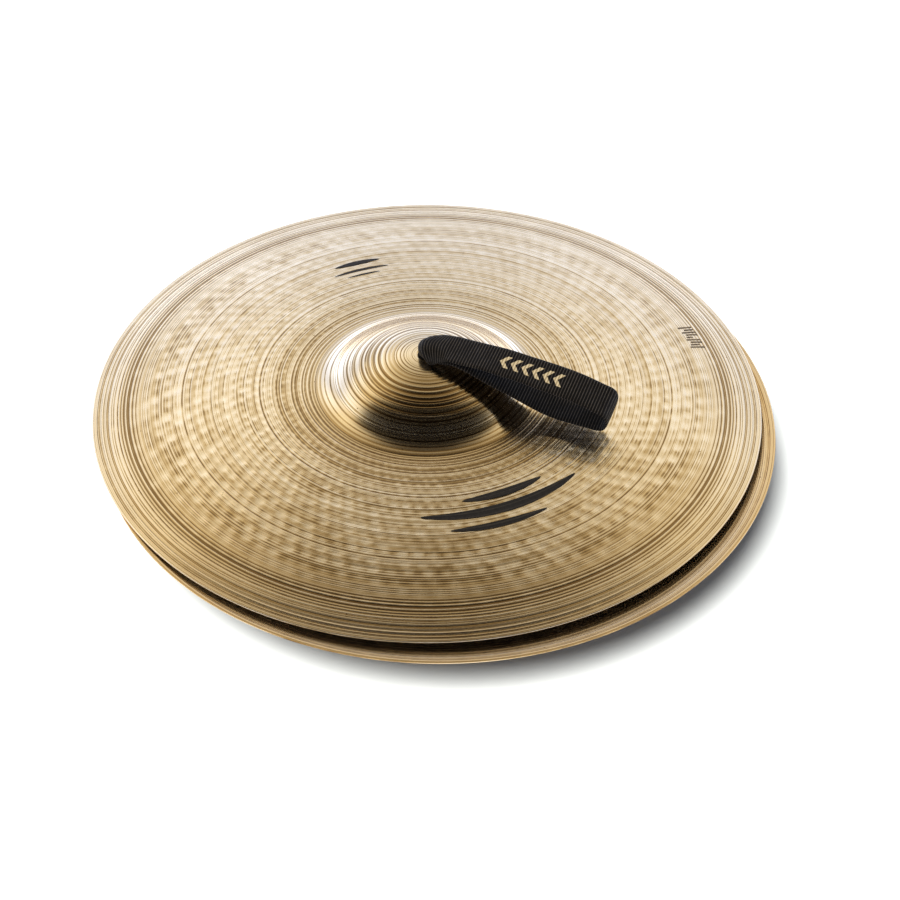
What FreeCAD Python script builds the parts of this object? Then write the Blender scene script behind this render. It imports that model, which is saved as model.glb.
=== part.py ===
"""A pair of hand cymbals, in millimetres.

Two lathed bronze discs are stored inside face to inside face, one a little off centre from
the other. A webbing hand strap runs through the hole in each bell. Inside the bell it passes
a felt washer and a steel washer, and an eye in it holds a cross pin too long to pull through.

Each piece is drawn in the frame of its own cymbal: +Z runs up the bell from the inner edge
of the rim, and +X runs along the strap. The placements stand the upper cymbal bell up and
turn the lower one over, so that it lies bell down on its own folded strap.
"""
import FreeCAD, Part
import math
import os
import re

import Sketcher

SIZES = [
    # The bronze disc: corners of its outline, and the radius that rounds each corner.
    ("rim_radius", 241.3, "19 in disc"),
    ("edge_thickness", 1.0, "at the rim"),
    ("bow_thickness", 1.3, "half way out"),
    ("foot_thickness", 1.5, "where the bell starts"),
    ("bell_thickness", 1.7, "over the bell"),
    ("hole_radius", 6.35, "1/2 in hole"),
    ("bow_radius", 196.3, "outer corner of the bow"),
    ("bow_height", 13.9, ""),
    ("bow_round", 520.0, ""),
    ("mid_radius", 114.0, "inner corner of the bow"),
    ("mid_height", 22.5, ""),
    ("mid_round", 850.0, ""),
    ("foot_radius", 75.4, "corner between bow and bell"),
    ("foot_height", 23.5, ""),
    ("foot_round", 15.0, ""),
    ("shoulder_radius", 38.4, "corner of the bell"),
    ("bell_height", 50.0, "top of the bell, outside"),
    ("bell_round", 119.0, ""),
    # How the two discs lie.
    ("axis_shift_x", 14.3, "from the upper axis to the lower one"),
    ("axis_shift_y", -13.52, "from the upper axis to the lower one"),
    ("rim_gap", 0.3, "between the two rims"),
    ("lower_heading", 137.0, "way the lower strap points, in degrees from +X"),
    # Webbing.
    ("webbing_width", 25.4, "1 in webbing"),
    ("webbing_thickness", 1.8, ""),
    ("webbing_edge_round", 0.5, ""),
    ("stem_radius", 5.6, "strap folded lengthwise, in the hole"),
    ("tail_bottom", 24.0, "end of the strap inside the bell"),
    ("tail_round", 1.5, ""),
    # Upper strap, from its fold over the hole out to the hand loop's end and back.
    ("stem_top", 54.6, ""),
    ("knuckle_x", 6.5, "fold about which the loop tilts"),
    ("knuckle_z", 55.0, ""),
    ("knuckle_radius", 4.0, ""),
    ("knuckle_width", 20.0, ""),
    ("loop_top_z", 60.3, "top ply at the fold"),
    ("loop_bend_x", 55.0, "where the top ply starts to fall"),
    ("loop_bend_round", 230.0, ""),
    ("loop_drop_x", 112.0, "where it falls faster"),
    ("loop_drop_z", 53.6, ""),
    ("loop_drop_round", 140.0, ""),
    ("loop_end_x", 139.0, "far end of the loop"),
    ("loop_end_top_z", 45.5, ""),
    ("loop_end_low_z", 32.2, "lower ply at the far end"),
    ("loop_end_round", 6.2, ""),
    ("loop_sag_x", 98.0, "where the lower ply starts to rise"),
    ("loop_sag_round", 90.0, ""),
    ("loop_join_x", 26.0, "where it meets the top ply"),
    ("loop_join_z", 57.6, ""),
    ("loop_join_round", 40.0, ""),
    ("loop_back_x", 11.4, "lower ply at the fold"),
    ("loop_back_z", 57.2, ""),
    # Lower strap, pressed flat between the bell and the surface.
    ("crown_gap", 0.3, "between the bell and the folded strap"),
    ("pad_height", 5.4, "the strap folded flat under the bell"),
    ("pad_half_length", 8.0, ""),
    ("pad_end_round", 2.69, ""),
    ("flat_start_x", 11.2, "start of the flat loop"),
    ("flat_end_x", 126.0, "far end of the flat loop"),
    ("flat_end_rise", 8.8, "height of the corners of its round end"),
    ("flat_end_round", 4.0, ""),
    ("flat_merge_x", 84.0, "where the two plies come together"),
    ("flat_merge_round", 60.0, ""),
    ("ply_gap", 0.4, "between plies that lie on each other"),
    # What holds the strap inside the bell.
    ("felt_radius", 16.0, ""),
    ("felt_hole_radius", 6.5, ""),
    ("felt_bottom", 44.1, ""),
    ("felt_top", 47.0, "at its outer edge"),
    ("felt_crown", 48.0, "near its hole, following the bell"),
    ("felt_round", 0.8, ""),
    ("washer_radius", 14.0, ""),
    ("washer_hole_radius", 5.9, ""),
    ("washer_top", 43.8, ""),
    ("washer_thickness", 1.6, ""),
    ("washer_round", 0.3, ""),
    ("pin_radius", 3.0, ""),
    ("pin_length", 26.0, ""),
    ("pin_height", 39.15, "axis of the pin"),
    ("pin_round", 0.6, ""),
    ("eye_radius", 3.1, "eye in the strap"),
    ("thread_radius", 0.45, ""),
    ("thread_pitch", 1.05, ""),
    ("thread_sink", 0.2, "how far the thread bites into the webbing"),
    ("binding_bottom", 28.0, "lowest turn of the thread"),
]
THREAD_TURNS = 5
BRONZE_DENSITY = 8.6e-6  # kg per cubic millimetre

doc = FreeCAD.newDocument("hand_cymbals")
sheet = doc.addObject("Spreadsheet::Sheet", "dims")
for row, (alias, size, note) in enumerate(SIZES, start=1):
    sheet.set(f"A{row}", alias)
    sheet.set(f"B{row}", str(size))
    sheet.set(f"C{row}", note)
    sheet.setAlias(f"B{row}", alias)
doc.recompute()
ALIASES = {alias for alias, _, _ in SIZES}


def value(formula):
    """The number that a formula over the sheet's cells comes to."""
    return float(sheet.evalExpression(str(formula)))


def bind(thing, target, formula):
    """Ties a property of an object to a formula over the sheet's cells."""
    names = re.compile(r"[a-z_]+")
    text = names.sub(lambda m: "dims." + m.group() if m.group() in ALIASES else m.group(), str(formula))
    thing.setExpression(target, text)


def new_body(name):
    body = doc.addObject("PartDesign::Body", name)
    body.Label = name
    return body


def new_sketch(body, name, plane, offset="0"):
    """A sketch on one of the body's own origin planes, moved along that plane's normal."""
    sketch = body.newObject("Sketcher::SketchObject", f"{body.Name}_{name}")
    origin_plane = next(f for f in body.Origin.OriginFeatures if f.Role == plane)
    sketch.AttachmentSupport = [(origin_plane, "")]
    sketch.MapMode = "FlatFace"
    bind(sketch, "AttachmentOffset.Base.z", offset)
    return sketch


def fix_point(sketch, point, x, y, name):
    """Holds a point of a sketch at the place that two formulas give."""
    for formula, kind, axis, letter in ((x, "DistanceX", -2, "x"), (y, "DistanceY", -1, "y")):
        place = value(formula)
        if abs(place) < 1e-9:
            sketch.addConstraint(Sketcher.Constraint("PointOnObject", point, 1, axis))
            continue
        index = sketch.addConstraint(Sketcher.Constraint(kind, -1, 1, point, 1, place))
        sketch.renameConstraint(index, f"{name}_{letter}")
        bind(sketch, f"Constraints.{name}_{letter}", formula)


def draw_corners(sketch, corners, closed=True):
    """Draws straight runs between corners, each given as x, y and the radius that rounds it.

    The corners themselves stay in the sketch as construction points, held at their sizes. A
    rounded corner is an arc tangent to its two runs. A radius of None leaves it sharp."""
    count = len(corners)
    place = [FreeCAD.Vector(value(x), value(y), 0) for x, y, _ in corners]
    marks = []
    for i, (x, y, _) in enumerate(corners):
        marks.append(sketch.addGeometry(Part.Point(place[i]), True))
        fix_point(sketch, marks[i], x, y, f"corner{i}")

    def direction(i):
        step = place[(i + 1) % count] - place[i % count]
        return step.normalize()

    def is_round(i):
        inner = closed or 0 < i < count - 1
        return inner and corners[i][2] is not None

    def cut_back(i):
        """How far the arc at a corner reaches along each of its runs."""
        if not is_round(i):
            return 0.0
        turn = direction(i - 1).getAngle(direction(i))
        return value(corners[i][2]) * math.tan(turn / 2)

    runs = []
    for i in range(count if closed else count - 1):
        j = (i + 1) % count
        start = place[i] + direction(i) * cut_back(i)
        end = place[j] - direction(i) * cut_back(j)
        runs.append(sketch.addGeometry(Part.LineSegment(start, end), False))
        for corner, end_of_run in ((i, 1), (j, 2)):
            if is_round(corner):
                hold = Sketcher.Constraint("PointOnObject", marks[corner], 1, runs[i])
            else:
                hold = Sketcher.Constraint("Coincident", runs[i], end_of_run, marks[corner], 1)
            sketch.addConstraint(hold)
    for i in filter(is_round, range(count)):
        before, after = direction(i - 1), direction(i)
        radius = value(corners[i][2])
        left = before.cross(after).z > 0
        side = 1 if left else -1
        arrive = place[i] - before * cut_back(i)
        leave = place[i] + after * cut_back(i)
        centre = arrive + FreeCAD.Vector(-before.y, before.x, 0) * radius * side
        first, last = (arrive, leave) if left else (leave, arrive)
        circle = Part.Circle(centre, FreeCAD.Vector(0, 0, 1), radius)
        arc = Part.ArcOfCircle(circle, circle.parameter(first), circle.parameter(last))
        index = sketch.addGeometry(arc, False)
        arrive_end, leave_end = (1, 2) if left else (2, 1)
        sketch.addConstraint(Sketcher.Constraint("Tangent", runs[i - 1], 2, index, arrive_end))
        sketch.addConstraint(Sketcher.Constraint("Tangent", index, leave_end, runs[i], 1))
        size = sketch.addConstraint(Sketcher.Constraint("Radius", index, radius))
        sketch.renameConstraint(size, f"corner{i}_round")
        bind(sketch, f"Constraints.corner{i}_round", corners[i][2])
    doc.recompute()


def draw_circle(sketch, x, y, radius):
    centre = FreeCAD.Vector(value(x), value(y), 0)
    circle = Part.Circle(centre, FreeCAD.Vector(0, 0, 1), value(radius))
    index = sketch.addGeometry(circle, False)
    mark = sketch.addGeometry(Part.Point(centre), True)
    fix_point(sketch, mark, x, y, "centre")
    sketch.addConstraint(Sketcher.Constraint("Coincident", index, 3, mark, 1))
    size = sketch.addConstraint(Sketcher.Constraint("Radius", index, value(radius)))
    sketch.renameConstraint(size, "radius")
    bind(sketch, "Constraints.radius", radius)
    doc.recompute()


def revolve(body, name, corners):
    """Turns an outline in the XZ plane once round the Z axis."""
    sketch = new_sketch(body, f"{name}_outline", "XZ_Plane")
    draw_corners(sketch, corners)
    turned = body.newObject("PartDesign::Revolution", f"{body.Name}_{name}")
    turned.Profile = sketch
    turned.ReferenceAxis = (sketch, ["V_Axis"])
    turned.Angle = 360
    doc.recompute()
    return turned


def pad(body, name, sketch, length, symmetric):
    feature = body.newObject("PartDesign::Pad", f"{body.Name}_{name}")
    feature.Profile = sketch
    feature.SideType = "Symmetric" if symmetric else "One side"
    bind(feature, "Length", length)
    doc.recompute()
    return feature


def cut_through(body, name, sketch):
    """Cuts a sketch right through the body, and makes sure that it took something away."""
    before = body.Shape.Volume
    feature = body.newObject("PartDesign::Pocket", f"{body.Name}_{name}")
    feature.Profile = sketch
    feature.SideType = "Symmetric"
    feature.Type = "ThroughAll"
    doc.recompute()
    if not body.Shape.Volume < before:
        raise RuntimeError(f"{feature.Name} cuts nothing")
    return feature


def round_circle_edge(body, name, height, size):
    """Fillets the body's level round edge at a height."""
    edges = [
        f"Edge{i}"
        for i, edge in enumerate(body.Shape.Edges, start=1)
        if isinstance(edge.Curve, Part.Circle)
        and abs(edge.Curve.Center.z - value(height)) < 1e-6
        and abs(edge.Curve.Axis.z) > 0.999
    ]
    tip = body.Tip
    fillet = body.newObject("PartDesign::Fillet", f"{body.Name}_{name}")
    fillet.Base = (tip, edges)
    bind(fillet, "Radius", size)
    doc.recompute()


def make_cymbal(body):
    """The disc: bow, bell and centre hole."""
    outside = [
        ("rim_radius", "edge_thickness", None),
        ("bow_radius", "bow_height", "bow_round"),
        ("mid_radius", "mid_height", "mid_round"),
        ("foot_radius", "foot_height", "foot_round"),
        ("shoulder_radius", "bell_height", "bell_round"),
        ("0", "bell_height", None),
    ]
    # The inside lies one thickness below. The two corners of the bell's steep flank also
    # move in, so that the flank is as thick as the crown when measured square to it.
    inside = [
        ("0", "bell_height - bell_thickness", None),
        ("shoulder_radius - 0.32 * bell_thickness", "bell_height - bell_thickness", "bell_round - bell_thickness"),
        ("foot_radius - 0.47 * bell_thickness", "foot_height - foot_thickness", "foot_round + bell_thickness"),
        ("mid_radius", "mid_height - foot_thickness", "mid_round"),
        ("bow_radius", "bow_height - bow_thickness", "bow_round"),
        ("rim_radius", "0", None),
    ]
    revolve(body, "disc", outside + inside)
    hole = new_sketch(body, "hole_outline", "XY_Plane")
    draw_circle(hole, "0", "0", "hole_radius")
    cut_through(body, "hole", hole)


def make_felt_washer(body):
    """Its top is raised in the middle to follow the inside of the bell."""
    revolve(body, "disc", [
        ("felt_hole_radius", "felt_bottom", "felt_round"),
        ("felt_radius", "felt_bottom", "felt_round"),
        ("felt_radius", "felt_top", "felt_round"),
        ("felt_hole_radius", "felt_crown", "felt_round"),
    ])


def make_steel_washer(body):
    revolve(body, "disc", [
        ("washer_hole_radius", "washer_top - washer_thickness", "washer_round"),
        ("washer_radius", "washer_top - washer_thickness", "washer_round"),
        ("washer_radius", "washer_top", "washer_round"),
        ("washer_hole_radius", "washer_top", "washer_round"),
    ])


def make_cross_pin(body):
    """A round pin across the strap, with its ends broken by a chamfer."""
    sketch = new_sketch(body, "section", "XZ_Plane")
    draw_circle(sketch, "0", "pin_height", "pin_radius")
    pad(body, "rod", sketch, "pin_length", symmetric=True)
    chamfer = body.newObject("PartDesign::Chamfer", f"{body.Name}_ends")
    round_edges = [
        f"Edge{i}"
        for i, edge in enumerate(body.Shape.Edges, start=1)
        if isinstance(edge.Curve, Part.Circle)
    ]
    chamfer.Base = (doc.getObject(f"{body.Name}_rod"), round_edges)
    bind(chamfer, "Size", "pin_round")
    doc.recompute()


def make_stem(body, top):
    """The strap folded lengthwise: through the hole, down to the eye and on to its tails."""
    section = new_sketch(body, "stem_section", "XY_Plane", "tail_bottom")
    draw_circle(section, "0", "0", "stem_radius")
    pad(body, "stem", section, f"{top} - tail_bottom", symmetric=False)
    eye = new_sketch(body, "eye_outline", "XZ_Plane")
    draw_circle(eye, "0", "pin_height", "eye_radius")
    cut_through(body, "eye", eye)
    round_circle_edge(body, "tail_end", "tail_bottom", "tail_round")


def make_upper_neck(body):
    make_stem(body, "stem_top")
    knuckle = new_sketch(body, "knuckle_section", "XZ_Plane")
    draw_circle(knuckle, "knuckle_x", "knuckle_z", "knuckle_radius")
    pad(body, "knuckle", knuckle, "knuckle_width", symmetric=True)


def make_lower_neck(body):
    """The bell presses the folded strap flat, into a pad that the cymbal stands on."""
    top = "bell_height + crown_gap"
    make_stem(body, f"{top} + pad_height / 2")
    outline = new_sketch(body, "pad_outline", "XZ_Plane")
    draw_corners(outline, [
        ("-pad_half_length", top, "pad_end_round"),
        ("pad_half_length + pad_height / 2", top, "pad_end_round"),
        ("pad_half_length + pad_height / 2", f"{top} + pad_height", "pad_end_round"),
        ("-pad_half_length", f"{top} + pad_height", "pad_end_round"),
    ])
    pad(body, "pad", outline, "webbing_width", symmetric=True)


def sweep_webbing(body, start_x, start_z, route):
    """Sweeps the webbing's section along a route that starts level, along +X."""
    path = new_sketch(body, "route", "XZ_Plane")
    draw_corners(path, route, closed=False)
    section = new_sketch(body, "section", "YZ_Plane", start_x)
    draw_corners(section, [
        ("-webbing_width / 2", f"{start_z} - webbing_thickness / 2", "webbing_edge_round"),
        ("webbing_width / 2", f"{start_z} - webbing_thickness / 2", "webbing_edge_round"),
        ("webbing_width / 2", f"{start_z} + webbing_thickness / 2", "webbing_edge_round"),
        ("-webbing_width / 2", f"{start_z} + webbing_thickness / 2", "webbing_edge_round"),
    ])
    pipe = body.newObject("PartDesign::AdditivePipe", f"{body.Name}_sweep")
    pipe.Profile = section
    pipe.Spine = (path, [f"Edge{i + 1}" for i in range(len(path.Shape.Edges))])
    pipe.Mode = "Standard"
    doc.recompute()


def make_upper_loop(body):
    """Out along the top ply, round the far end, and back along the lower ply."""
    sweep_webbing(body, "knuckle_x", "loop_top_z", [
        ("knuckle_x", "loop_top_z", None),
        ("loop_bend_x", "loop_top_z", "loop_bend_round"),
        ("loop_drop_x", "loop_drop_z", "loop_drop_round"),
        ("loop_end_x", "loop_end_top_z", "loop_end_round"),
        ("loop_end_x", "loop_end_low_z", "loop_end_round"),
        ("loop_sag_x", "loop_end_low_z", "loop_sag_round"),
        ("loop_join_x", "loop_join_z", "loop_join_round"),
        ("loop_back_x", "loop_back_z", None),
    ])


def make_lower_loop(body):
    """Out along the surface, round a soft end, and back flat on the first ply."""
    floor = "(bell_height + crown_gap + pad_height)"
    low_ply = f"({floor} - webbing_thickness / 2)"
    high_ply = f"({low_ply} - webbing_thickness - ply_gap)"
    sweep_webbing(body, "flat_start_x", low_ply, [
        ("flat_start_x", low_ply, None),
        ("flat_end_x", low_ply, "flat_end_round"),
        ("flat_end_x", f"{low_ply} - flat_end_rise", "flat_end_round"),
        ("flat_merge_x", high_ply, "flat_merge_round"),
        ("flat_start_x", high_ply, None),
    ])


def make_thread_binding(name):
    """Separate turns of thread round the strap's tails."""
    turns = []
    for i in range(THREAD_TURNS):
        turn = doc.addObject("Part::Torus", f"{name}_turn{i}")
        bind(turn, "Radius1", "stem_radius + thread_radius - thread_sink")
        bind(turn, "Radius2", "thread_radius")
        bind(turn, "Placement.Base.z", f"binding_bottom + {i} * thread_pitch")
        turns.append(turn)
    group = doc.addObject("Part::Compound", name)
    group.Label = name
    group.Links = turns
    doc.recompute()
    return group


def build(name, make):
    body = new_body(name)
    make(body)
    return body


def place_with_cymbal(piece, side):
    """Puts a piece drawn in its cymbal's frame where that cymbal lies."""
    sign = "-0.5" if side == "upper" else "0.5"
    stack = "pad_height + crown_gap + bell_height"
    if side == "lower":
        turn_over = FreeCAD.Rotation(FreeCAD.Vector(1, 0, 0), 180)
        swing = FreeCAD.Rotation(FreeCAD.Vector(0, 0, 1), value("lower_heading"))
        piece.Placement = FreeCAD.Placement(FreeCAD.Vector(), swing * turn_over)
        height = stack
    else:
        height = f"{stack} + rim_gap"
    bind(piece, "Placement.Base.x", f"{sign} * axis_shift_x")
    bind(piece, "Placement.Base.y", f"{sign} * axis_shift_y")
    bind(piece, "Placement.Base.z", height)


pieces = []
necks = {"upper": make_upper_neck, "lower": make_lower_neck}
loops = {"upper": make_upper_loop, "lower": make_lower_loop}
for side in ("upper", "lower"):
    own = [
        build(f"{side}_cymbal", make_cymbal),
        build(f"{side}_strap_neck", necks[side]),
        build(f"{side}_strap_loop", loops[side]),
        build(f"{side}_felt_washer", make_felt_washer),
        build(f"{side}_steel_washer", make_steel_washer),
        build(f"{side}_cross_pin", make_cross_pin),
        make_thread_binding(f"{side}_thread_binding"),
    ]
    for piece in own:
        place_with_cymbal(piece, side)
    pieces += own
doc.recompute()

for thing in doc.Objects:
    if {"Invalid", "Error"} & set(thing.State):
        raise RuntimeError(f"{thing.Name} failed: {thing.State}")
for piece in pieces:
    if piece.Shape.isNull() or not piece.Shape.isValid():
        raise RuntimeError(f"{piece.Label} has no valid shape")

os.makedirs("parts", exist_ok=True)
for piece in pieces:
    piece.Shape.exportStep(f"parts/{piece.Label}.step")
    print(f"{piece.Label}: {piece.Shape.Volume:.1f} mm3 in {len(piece.Shape.Solids)} solids")
cymbal_mass = doc.getObject("upper_cymbal").Shape.Volume * BRONZE_DENSITY
print(f"one cymbal weighs {cymbal_mass:.2f} kg in bronze")
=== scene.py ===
"""Looks for a pair of hand cymbals: lathed and hammered bronze discs with black ribbed
webbing straps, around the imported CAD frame. Metres, +Z up, +X along the upper strap."""

import functools
import math

import bpy
import numpy as np
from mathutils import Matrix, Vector


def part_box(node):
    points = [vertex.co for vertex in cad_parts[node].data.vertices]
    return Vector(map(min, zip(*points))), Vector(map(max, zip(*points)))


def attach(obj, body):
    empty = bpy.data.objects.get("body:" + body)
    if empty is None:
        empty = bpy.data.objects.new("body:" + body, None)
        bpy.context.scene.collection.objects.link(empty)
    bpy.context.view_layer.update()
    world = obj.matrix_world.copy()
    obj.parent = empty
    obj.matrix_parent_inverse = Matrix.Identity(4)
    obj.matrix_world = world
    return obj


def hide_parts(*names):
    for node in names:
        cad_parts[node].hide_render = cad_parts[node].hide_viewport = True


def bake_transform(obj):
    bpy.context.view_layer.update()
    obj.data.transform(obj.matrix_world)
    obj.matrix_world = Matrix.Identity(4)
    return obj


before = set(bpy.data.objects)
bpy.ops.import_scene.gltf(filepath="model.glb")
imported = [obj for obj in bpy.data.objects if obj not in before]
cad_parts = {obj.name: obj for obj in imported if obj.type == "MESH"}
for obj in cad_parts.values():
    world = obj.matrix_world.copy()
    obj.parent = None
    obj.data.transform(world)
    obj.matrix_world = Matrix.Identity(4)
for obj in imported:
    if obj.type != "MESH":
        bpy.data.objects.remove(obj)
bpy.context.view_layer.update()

MM = 0.001
SIDES = ("upper", "lower")
FULL_TURN = 2 * math.pi

# The disc's outline from the rim to the crown, in millimetres above the rim's inner edge:
# radius, height, and the radius that rounds the corner.
OUTSIDE = ((241.3, 1.0, 0), (196.3, 13.9, 520), (114.0, 22.5, 850), (75.4, 23.5, 40),
           (38.4, 50.0, 103), (6.35, 50.0, 0))
INSIDE = ((241.3, 0.0, 0), (196.3, 12.6, 520), (114.0, 21.0, 850), (74.6, 22.0, 16.7),
          (37.85, 48.3, 117.3), (6.35, 48.3, 0))
RIM_RADIUS = OUTSIDE[0][0]
HOLE_RADIUS = OUTSIDE[-1][0]

# Camera, fitted to the view: distance and elevation from the middle of the upper rim.
VIEW_TURN = math.radians(21.0)
VIEW_ELEVATION = math.radians(40.7)
VIEW_DISTANCE = 2.300
LENS = 127.26
SHIFT = (0.02556, -0.0481)

# Brightness of the studio round the horizon by elevation, and overhead by the angle from the far
# horizon, in degrees; the elevations between which one gives way to the other.
RING = ((0, (1.75, 2.15, 3.30)), (9, (1.62, 2.00, 3.05)), (16, (1.22, 1.46, 2.15)),
        (24, (0.95, 1.08, 1.50)), (35, (1.36, 1.45, 1.62)), (48, (1.12, 1.05, 0.84)),
        (62, (0.94, 0.85, 0.64)), (90, (0.6, 0.55, 0.45)))
CAP = ((90, (0.006, 0.005, 0.004)), (84, (0.02, 0.017, 0.012)), (76, (0.26, 0.21, 0.14)),
       (66, (0.52, 0.45, 0.32)), (54, (0.62, 0.57, 0.45)), (42, (1.05, 1.05, 1.02)))
CAP_EDGE = (38, 50)
# The cap's reach to either side at the back, and where it takes the whole width, towards the
# front. These and the two lines after them are in sines of an angle, from one end of a fade to
# the other.
CAP_WIDTH = (0.14, 0.46)
CAP_FRONT = (0.34, 0.10)
# The right half is dimmer, and so is the gap between the two banks of light: each one's place,
# and the share of light that is left there.
RIGHT_REACH, RIGHT_DIMMING = (0.0, 0.36), 0.88
MIDDLE_GAP, GAP_LIGHT = (0.02, 0.24), 0.80
SKY_STRENGTH = 3.4
FLOOR_COLOUR = (0.148, 0.151, 0.145, 1)
FLOOR_REACH = 6.0


def centre_of(side):
    """A cymbal's axis in the plane of its rim's inner edge, and +1 if its bell points up."""
    low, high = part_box(f"{side}_cymbal")
    x, y = (low.x + high.x) / 2, (low.y + high.y) / 2
    up = 1 if side == "upper" else -1
    return Vector((x, y, low.z if up > 0 else high.z)), up


# ---------------------------------------------------------------- node helpers


class Nodes:
    """Builds a node tree with short calls."""

    def __init__(self, tree):
        self.tree = tree

    def add(self, kind, **settings):
        node = self.tree.nodes.new(kind)
        for key, setting in settings.items():
            setattr(node, key, setting)
        return node

    def feed(self, target, source):
        """Connects a socket, or sets a constant."""
        if isinstance(source, bpy.types.NodeSocket):
            self.tree.links.new(source, target)
        else:
            target.default_value = source

    def math(self, operation, a, b=0.0, c=0.0, clamp=False):
        node = self.add("ShaderNodeMath", operation=operation, use_clamp=clamp)
        for socket, source in zip(node.inputs, (a, b, c)):
            self.feed(socket, source)
        return node.outputs[0]

    def product(self, *factors):
        total = factors[0]
        for factor in factors[1:]:
            total = self.math("MULTIPLY", total, factor)
        return total

    def blend(self, a, share, b):
        """One texture with a share of another added: a times share, plus b."""
        return self.math("MULTIPLY_ADD", a, share, b)

    def ramp(self, source, stops, interpolation="B_SPLINE"):
        node = self.add("ShaderNodeValToRGB")
        node.color_ramp.interpolation = interpolation
        elements = node.color_ramp.elements
        while len(elements) < len(stops):
            elements.new(0.5)
        for element, (place, colour) in zip(elements, stops):
            element.position = place
            element.color = (*colour, 1.0)
        self.feed(node.inputs["Fac"], source)
        return node.outputs["Color"]

    def mix(self, factor, a, b, kind="MIX"):
        node = self.add("ShaderNodeMix", data_type="RGBA", blend_type=kind)
        self.feed(node.inputs["Factor"], factor)
        self.feed(node.inputs["A"], a)
        self.feed(node.inputs["B"], b)
        return node.outputs["Result"]

    def noise(self, place, scale, detail, rough=0.5, distortion=0.0):
        """Noise through space, or along a single number such as a radius."""
        in_space = place.type == "VECTOR"
        node = self.add("ShaderNodeTexNoise", noise_dimensions="3D" if in_space else "1D")
        self.feed(node.inputs["Vector" if in_space else "W"], place)
        node.inputs["Scale"].default_value = scale
        node.inputs["Detail"].default_value = detail
        node.inputs["Roughness"].default_value = rough
        node.inputs["Distortion"].default_value = distortion
        return node.outputs["Fac"]

    def cells(self, place, scale):
        """The outputs of a Voronoi texture."""
        node = self.add("ShaderNodeTexVoronoi", feature="F1")
        node.inputs["Scale"].default_value = scale
        self.feed(node.inputs["Vector"], place)
        return node.outputs

    def attribute(self, name):
        return self.add("ShaderNodeAttribute", attribute_name=name).outputs["Fac"]

    def map_range(self, value, limits, results, interpolation="LINEAR"):
        node = self.add("ShaderNodeMapRange", interpolation_type=interpolation)
        for socket, setting in zip(node.inputs[1:5], (*limits, *results)):
            socket.default_value = setting
        self.feed(node.inputs["Value"], value)
        return node.outputs[0]


class Material(Nodes):
    """A material's nodes, round its Principled shader."""

    def __init__(self, name):
        self.material = bpy.data.materials.new(name)
        self.material.use_nodes = True
        super().__init__(self.material.node_tree)
        self.shader = self.tree.nodes["Principled BSDF"]

    def place(self):
        return self.add("ShaderNodeTexCoord").outputs["Object"]

    def surface(self, **inputs):
        """Sets the shader's inputs; an underscore stands for a space."""
        for name, source in inputs.items():
            self.feed(self.shader.inputs[name.replace("_", " ")], source)

    def bump(self, height, distance, strength):
        node = self.add("ShaderNodeBump")
        node.inputs["Strength"].default_value = strength
        node.inputs["Distance"].default_value = distance
        self.feed(node.inputs["Height"], height)
        self.surface(Normal=node.outputs["Normal"])


# ---------------------------------------------------------------- mesh helpers


def mesh_object(name, points, faces):
    """A smooth-shaded mesh in the scene."""
    mesh = bpy.data.meshes.new(name)
    mesh.from_pydata([tuple(p) for p in points], [], faces)
    mesh.validate()
    mesh.update()
    mesh.polygons.foreach_set("use_smooth", [True] * len(mesh.polygons))
    piece = bpy.data.objects.new(name, mesh)
    bpy.context.scene.collection.objects.link(piece)
    return piece


def grid_faces(rows, columns, close_rows=False, close_columns=True, flip=False):
    """Quads over a grid of points that is stored row by row."""
    faces = []
    for i in range(rows if close_rows else rows - 1):
        for j in range(columns if close_columns else columns - 1):
            a, b = i * columns + j, i * columns + (j + 1) % columns
            k = (i + 1) % rows
            c, d = k * columns + (j + 1) % columns, k * columns + j
            faces.append((a, d, c, b) if flip else (a, b, c, d))
    return faces


def store(piece, name, values):
    """Keeps one number for each point of a mesh, for its material to read."""
    layer = piece.data.attributes.new(name, "FLOAT", "POINT")
    layer.data.foreach_set("value", np.asarray(values, np.float32).ravel())


def circle(count):
    """Angles evenly round a full turn."""
    return np.linspace(0, FULL_TURN, count, endpoint=False)


def rounded_outline(corners, step=math.radians(0.5)):
    """Points along straight runs joined by tangent arcs, as two arrays."""
    places = [np.array(c[:2], float) for c in corners]
    points = [places[0]]
    rounds = [c[2] for c in corners[1:]]
    for before, corner, after, radius in zip(places, places[1:], places[2:], rounds):
        arrive = (corner - before) / np.linalg.norm(corner - before)
        leave = (after - corner) / np.linalg.norm(after - corner)
        turn = math.atan2(arrive[0] * leave[1] - arrive[1] * leave[0], arrive @ leave)
        if radius == 0 or abs(turn) < 1e-6:
            points.append(corner)
            continue
        side = math.copysign(1.0, turn)
        start = corner - arrive * radius * math.tan(abs(turn) / 2)
        centre = start + np.array((-arrive[1], arrive[0])) * radius * side
        arm = start - centre
        for angle in np.linspace(0, turn, max(6, int(abs(turn) / step))):
            cos, sin = math.cos(angle), math.sin(angle)
            points.append(centre + np.array((arm[0] * cos - arm[1] * sin,
                                             arm[0] * sin + arm[1] * cos)))
    points.append(places[-1])
    points = np.array(points)
    return points[:, 0], points[:, 1]


def distances(*coordinates):
    """How far along a line each of its points is."""
    steps = np.sqrt(sum(np.diff(values) ** 2 for values in coordinates))
    return np.concatenate([[0], np.cumsum(steps)])


def even_outline(r, z, step):
    """An outline resampled at even steps."""
    along = distances(r, z)
    at = np.linspace(0, along[-1], max(3, int(along[-1] / step)))
    return np.interp(at, along, r), np.interp(at, along, z)


def height_at(corners, radii):
    """Height of a rounded outline at each radius."""
    r, z = rounded_outline(corners)
    order = np.argsort(r, kind="stable")
    return np.interp(radii, r[order], z[order])


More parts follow.
